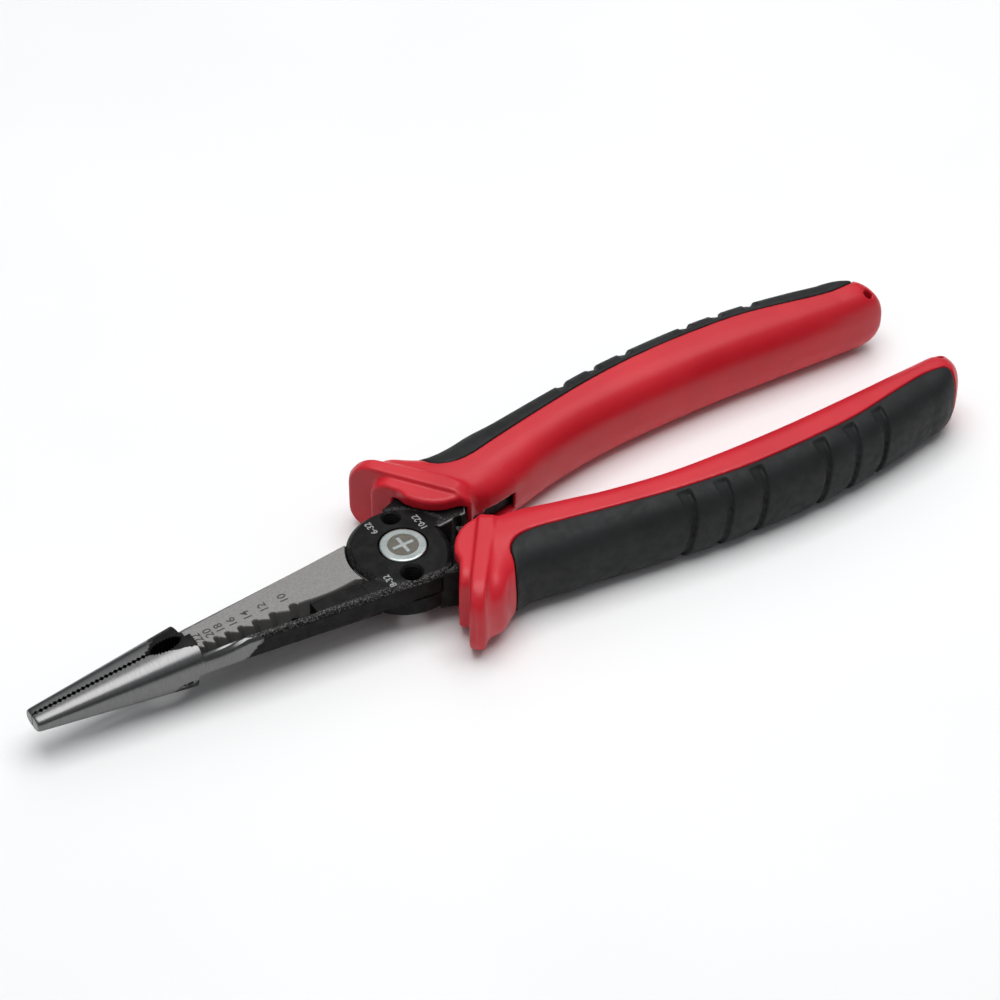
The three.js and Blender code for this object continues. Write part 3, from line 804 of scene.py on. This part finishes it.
    return look.material


def bright_steel():
    look = Look("bright_turned_steel", Metallic=1.0)
    brushed = look.noise(1.2, 4, stretch=(0.4, 2.4, 1), rough=0.65)
    mottle = look.noise(0.45, 3)
    tone = look.smooth(look.math("ADD", brushed, mottle), 0.6, 1.4)
    look.set("Base Color", look.blend(tone, (0.29, 0.32, 0.32, 1), (0.40, 0.43, 0.42, 1)))
    look.set("Roughness", look.smooth(mottle, 0.3, 0.7, 0.24, 0.36))
    look.set("Normal", look.bump(brushed, 0.015, 0.35))
    return look.material


def etched_mark():
    look = Look("etched_mark", Metallic=0.7)
    tone = look.smooth(look.noise(3.0, 4), 0.3, 0.7)
    look.set("Base Color", look.blend(tone, (0.09, 0.085, 0.07, 1), (0.17, 0.16, 0.135, 1)))
    look.set("Roughness", look.smooth(tone, 0, 1, 0.45, 0.62))
    look.set("Normal", look.bump(look.noise(5.0, 3), 0.02, 0.4))
    return look.material


def engraved_ink(name, colour, other):
    look = Look(name, Metallic=0.0)
    worn = look.smooth(look.noise(3.5, 4, rough=0.7), 0.35, 0.7)
    look.set("Base Color", look.blend(worn, colour, other))
    look.set("Roughness", look.smooth(worn, 0, 1, 0.5, 0.7))
    return look.material


def red_plastic():
    look = Look("red_moulded_plastic", Specular_IOR_Level=0.35)
    cloudy = look.smooth(look.noise(0.045, 3), 0.3, 0.7)
    tone = look.blend(cloudy, (0.50, 0.011, 0.022, 1), (0.57, 0.016, 0.028, 1))
    specks = look.smooth(look.noise(1.1, 5, rough=0.75), 0.7, 0.82, 0, 0.3)
    look.set("Base Color", look.blend(specks, tone, (0.72, 0.12, 0.14, 1)))
    fine = look.noise(3.2, 3)
    look.set("Roughness", look.smooth(look.noise(0.25, 4), 0.3, 0.7, 0.31, 0.41))
    texture = look.bump(fine, 0.018, 0.4)
    look.set("Normal", look.bump(look.noise(0.22, 2), 0.12, 0.35, texture))
    return look.material


def soft_rubber():
    look = Look("black_soft_grip", Specular_IOR_Level=0.22)
    cloudy = look.smooth(look.noise(0.08, 4), 0.3, 0.7)
    tone = look.blend(cloudy, grey(0.011, -0.03), grey(0.018, -0.04))
    dust = look.smooth(look.noise(1.7, 5, rough=0.8), 0.74, 0.88, 0, 0.5)
    look.set("Base Color", look.blend(dust, tone, grey(0.16)))
    look.set("Roughness", look.smooth(look.noise(0.5, 4), 0.3, 0.7, 0.5, 0.66))
    grain = look.bump(look.noise(4.0, 3), 0.03, 0.45)
    look.set("Normal", look.bump(look.noise(0.3, 3), 0.1, 0.3, grain))
    return look.material


# ---- putting the pieces into the frame ----------------------------------------------------------------
def place(obj, turned_over=False):
    """Takes a mesh from millimetres about the pivot into the frame, turned over for half B."""
    if turned_over:
        obj.data.transform(Matrix.Rotation(math.pi, 4, "X"))
    obj.data.transform(Matrix.Translation(PIVOT) @ Matrix.Scale(MM, 4))
    return obj


def shade(obj, sharp_degrees):
    """Smooth shading that keeps edges sharper than an angle."""
    bm = bmesh.new()
    bm.from_mesh(obj.data)
    limit = math.radians(sharp_degrees)
    for face in bm.faces:
        face.smooth = True
    for edge in bm.edges:
        edge.smooth = edge.is_manifold and edge.calc_face_angle(0) < limit
    bm.to_mesh(obj.data)
    bm.free()


def install(obj, name, body, material, nodes=(), sharp_degrees=16):
    obj.name = name
    obj.data.name = name
    obj.data.materials.clear()
    obj.data.materials.append(material)
    shade(obj, sharp_degrees)
    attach(obj, body)
    if nodes:
        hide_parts(*nodes)
    return obj


def levers():
    steel = forged_steel("black_forged_steel")
    for half, turned_over in (("a", False), ("b", True)):
        shape = place(lever_shape("lever", turned_over))
        install(shape, f"forged_lever_{half}", f"half_{half}", steel, [f"lever_{half}"])


def pivot():
    top = HEAD_TOP
    bolt = turned([(SHANK_R - 0.4, -BOSS_TOP), (SHANK_R, -BOSS_TOP + 0.4), (SHANK_R, HEAD_SEAT + SEAM),
                   (HEAD_R, HEAD_SEAT + SEAM), (HEAD_R, top - 0.42), (HEAD_R - 0.06, top - 0.25),
                   (HEAD_R - 0.2, top - 0.1), (HEAD_R - 0.42, top - 0.02), (HEAD_R - 0.7, top)])
    ring = cut(turned([(HEAD_R - 0.42, -top), (HEAD_R - 0.1, -top + 0.2), (HEAD_R, -top + 0.42),
                       (HEAD_R, -HEAD_SEAT - SEAM)]), disc(SHANK_R + SEAM, -BEYOND, BEYOND))
    # The mark on the head is a thin disc with a cross cut out of it.
    long, wide = CROSS_HALVES
    mark = cut(disc(MARK_R, top - 0.05, top + 0.02), block(-long, long, -wide, wide, 0, BEYOND),
               block(-wide, wide, -long, long, 0, BEYOND))
    install(place(mark), "pivot_centre_mark", "half_a", etched_mark())
    steel = bright_steel()
    install(place(bolt), "pivot_bolt_turned", "half_a", steel, ["pivot_bolt"])
    install(place(ring), "pivot_nut_turned", "half_a", steel, ["pivot_nut"])


def handles():
    space = Space((-1.5, 2.0, -10.4), (138, 30, 10.4))
    body = handle_body(space)
    red = red_plastic()
    black = soft_rubber()
    parts = (("handle", "moulded_handle", "red_handle", red, handle_shape(space, body)),
             ("grip", "soft_grip", "soft_grip", black, grip_shape(space, body)))
    for node, piece, slot, material, values in parts:
        for half, turned_over in (("a", False), ("b", True)):
            shape = place(skin(piece, values, space.low), turned_over)
            install(shape, f"{piece}_{half}", f"half_{half}", material, [f"{node}_{half}"], 60)


FIGURE_LIFT = 0.01


def label(text, x, y, z, size, body, name, material):
    """Thin figures standing a hair above a steel face, read along +Y."""
    curve = bpy.data.curves.new(name, "FONT")
    curve.body = text
    curve.size = size
    curve.align_x = "CENTER"
    curve.align_y = "CENTER"
    curve.extrude = 0.015
    curve.offset = 0.03
    curve.resolution_u = 4
    writing = new_object(name, curve)
    graph = bpy.context.evaluated_depsgraph_get()
    mesh = bpy.data.meshes.new_from_object(writing.evaluated_get(graph))
    bpy.data.objects.remove(writing)
    mesh.transform(Matrix.Translation((x, y, z)) @ Matrix.Rotation(math.pi / 2, 4, "Z"))
    return install(place(new_object(name, mesh)), name, body, material)


def markings():
    dark = engraved_ink("etched_dark", (0.02, 0.017, 0.013, 1), (0.06, 0.054, 0.043, 1))
    pale = engraved_ink("etched_pale", (0.34, 0.35, 0.35, 1), (0.2, 0.21, 0.21, 1))
    row_y = line(-50, -0.5, -29.5, 0.4)
    blade_face = BLADE_TOP + FIGURE_LIFT
    boss_face = BOSS_TOP + FIGURE_LIFT
    for gauge, x, _ in NOTCHES:
        label(str(gauge), x - 0.55, row_y(x), blade_face, 2.7, "half_b", f"gauge_figure_{gauge}", dark)
    on_boss = [("6-32", -3.0, 8.1, "thread_figure_6"),
               ("8-32", -8.0, -8.0, "thread_figure_8"),
               ("10-22", 6.8, 4.3, "crimp_figure")]
    for text, x, y, name in on_boss:
        label(text, x, y, boss_face, 2.1, "half_a", name, pale)


# ---- studio -------------------------------------------------------------------------------------------
AZIMUTH = math.radians(-32.336)
ELEVATION = math.radians(42.236)
DISTANCE = 0.7693
AIM = (0.02064, 0.01328)  # how far the middle of the view lies from the pivot, across and up
LENS = 129.6


def camera():
    back = Vector((math.sin(AZIMUTH) * math.cos(ELEVATION), -math.cos(AZIMUTH) * math.cos(ELEVATION),
                   math.sin(ELEVATION)))
    right = Vector((math.cos(AZIMUTH), math.sin(AZIMUTH), 0))
    up = back.cross(right)
    data = bpy.data.cameras.new("camera")
    data.lens = LENS
    data.sensor_width = 36
    data.clip_start = 0.01
    obj = bpy.data.objects.new("camera", data)
    bpy.context.scene.collection.objects.link(obj)
    turn = Matrix((right, up, back)).transposed().to_4x4()
    obj.matrix_world = Matrix.Translation(PIVOT + back * DISTANCE + right * AIM[0] + up * AIM[1]) @ turn
    bpy.context.scene.camera = obj


def area_light(name, place_at, aim, size, power):
    data = bpy.data.lights.new(name, "AREA")
    data.shape = "RECTANGLE"
    data.size, data.size_y = size
    data.energy = power
    obj = bpy.data.objects.new(name, data)
    bpy.context.scene.collection.objects.link(obj)
    obj.location = place_at
    obj.rotation_euler = (Vector(aim) - Vector(place_at)).to_track_quat("-Z", "Y").to_euler()


def studio():
    floor_look = Look("pale_floor", Roughness=0.9)
    tone = floor_look.smooth(floor_look.noise(0.01, 2), 0.3, 0.7)
    floor_look.set("Base Color", floor_look.blend(tone, grey(0.86), grey(0.88)))
    reach = 1.6
    floor = solid("floor", [(-reach, -reach, 0), (reach, -reach, 0), (reach, reach, 0), (-reach, reach, 0)],
                  [(0, 1, 2, 3)])
    floor.data.materials.append(floor_look.material)
    world = bpy.data.worlds.new("studio")
    bpy.context.scene.world = world
    world.use_nodes = True
    sky = world.node_tree
    height = sky.nodes.new("ShaderNodeSeparateXYZ")
    sky.links.new(sky.nodes.new("ShaderNodeTexCoord").outputs["Generated"], height.inputs[0])
    rise = sky.nodes.new("ShaderNodeMapRange")
    rise.interpolation_type = "SMOOTHSTEP"
    rise.inputs["From Min"].default_value = 0.15
    rise.inputs["From Max"].default_value = 0.6
    rise.inputs["To Min"].default_value = 0.05
    rise.inputs["To Max"].default_value = 0.34
    sky.links.new(height.outputs[2], rise.inputs["Value"])
    sky.links.new(rise.outputs["Result"], sky.nodes["Background"].inputs["Strength"])
    sky.nodes["Background"].inputs["Color"].default_value = (0.95, 0.97, 1, 1)
    area_light("overhead", (0.05, 0.0, 0.8), (0, 0, 0), (0.7, 0.8), 6.5)
    area_light("back", (0.45, 0.75, 0.75), (0.0, 0, 0), (0.9, 0.7), 1.6)
    area_light("left", (-0.8, -0.1, 0.5), (-0.03, 0, 0), (0.4, 0.4), 0.4)
    bpy.context.scene.view_settings.view_transform = "Standard"


levers()
pivot()
handles()
markings()
camera()
studio()
